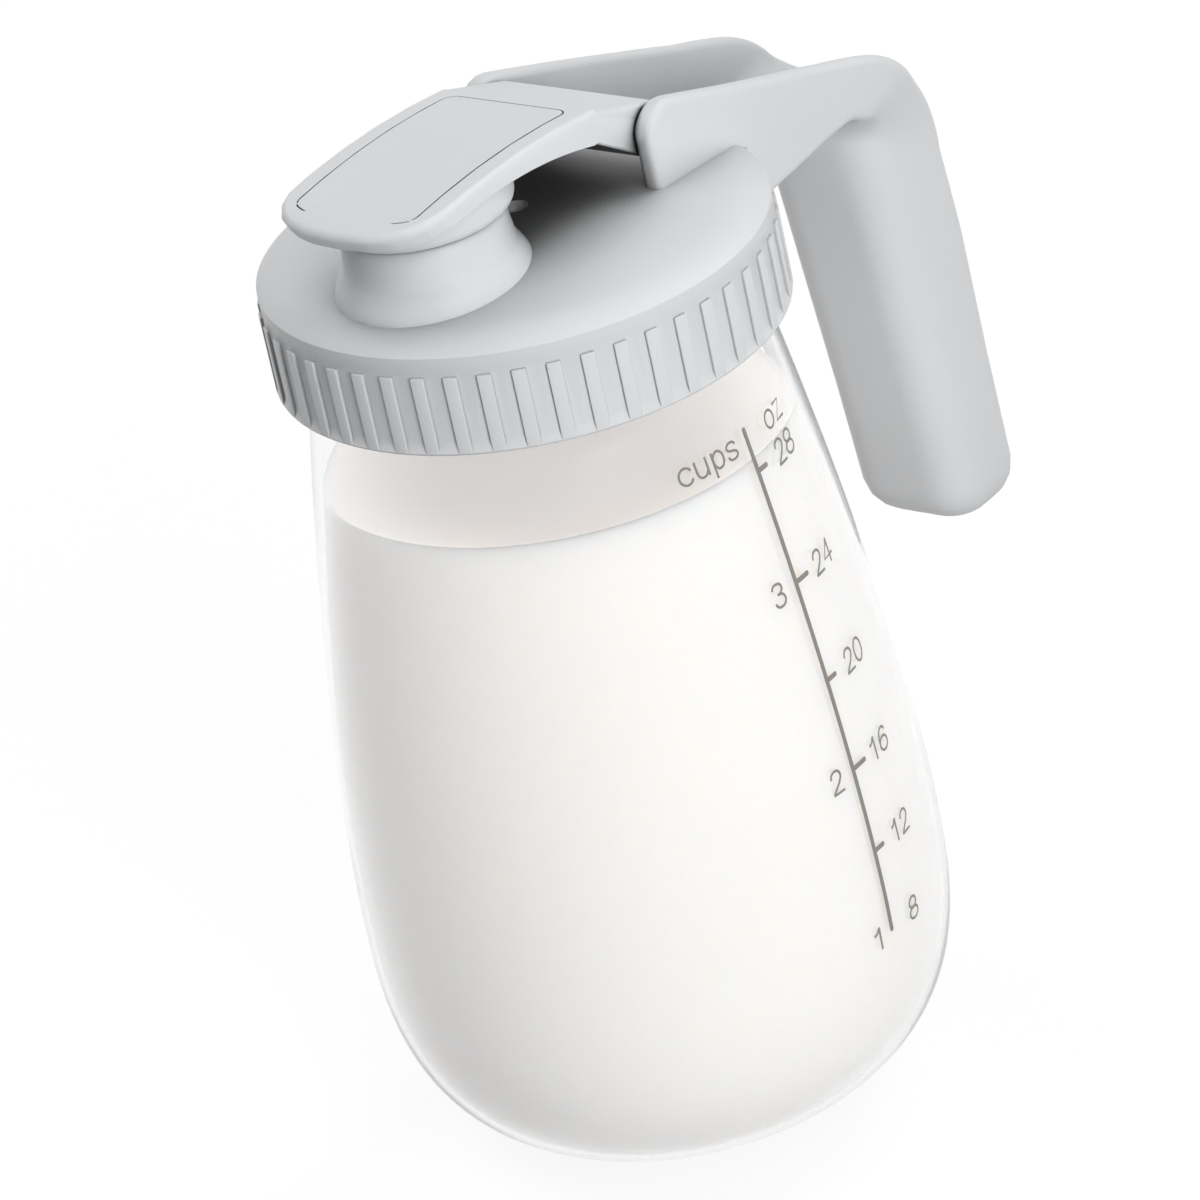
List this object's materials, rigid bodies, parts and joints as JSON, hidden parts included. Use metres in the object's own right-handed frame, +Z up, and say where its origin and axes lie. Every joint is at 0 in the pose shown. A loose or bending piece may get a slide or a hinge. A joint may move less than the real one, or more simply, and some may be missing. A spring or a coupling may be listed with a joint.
{
  "type": "breast milk storage container",
  "caption": "Round glass milk jug with a ribbed screw lid, a pouring spout under a flip cap, and a fork-shaped plastic handle on the lid.",
  "frame": {"origin": "centre of the jar's flat base, on the jar's axis", "axes": "+Z up along the jar's axis, +X towards the handle and the cap's hinge, -X towards the spout, -Y is the side with the measuring scale"},
  "size_m": [0.1614, 0.1028, 0.1923],
  "materials": {
    "clear_glass": "clear, polished",
    "grey_plastic": "satin moulded, pale grey",
    "panel_plastic": "satin moulded, pale grey",
    "stopper_silicone": "soft, off-white",
    "pin_steel": "drawn wire",
    "gasket_silicone": "soft, translucent white"
  },
  "bodies": {
    "jar": {"glass_jar": "clear_glass"},
    "seal": {"lid_gasket": "gasket_silicone"},
    "lid": {"lid_shell": "grey_plastic", "handle": "grey_plastic", "hinge_pin": "pin_steel"},
    "cap": {"flip_cap": "grey_plastic", "cap_panel": "panel_plastic", "spout_stopper": "stopper_silicone"}
  },
  "joints": [
    {"name": "lid_rise", "type": "slide", "parent": "jar", "child": "seal", "axis": [0, 0, 1], "range_m": [0, 0.00751]},
    {"name": "lid_turn", "type": "hinge", "parent": "seal", "child": "lid", "pos_m": [0, 0, 0.16], "axis": [0, 0, 1], "range_deg": [0, 540]},
    {"name": "cap_hinge", "type": "hinge", "parent": "lid", "child": "cap", "pos_m": [0.0214, 0, 0.1803], "axis": [0, 1, 0], "range_deg": [0, 110]}
  ],
  "couplings": [
    {"joint": "lid_rise", "follows": "lid_turn", "m_per_rad": 0.00079577}
  ]
}
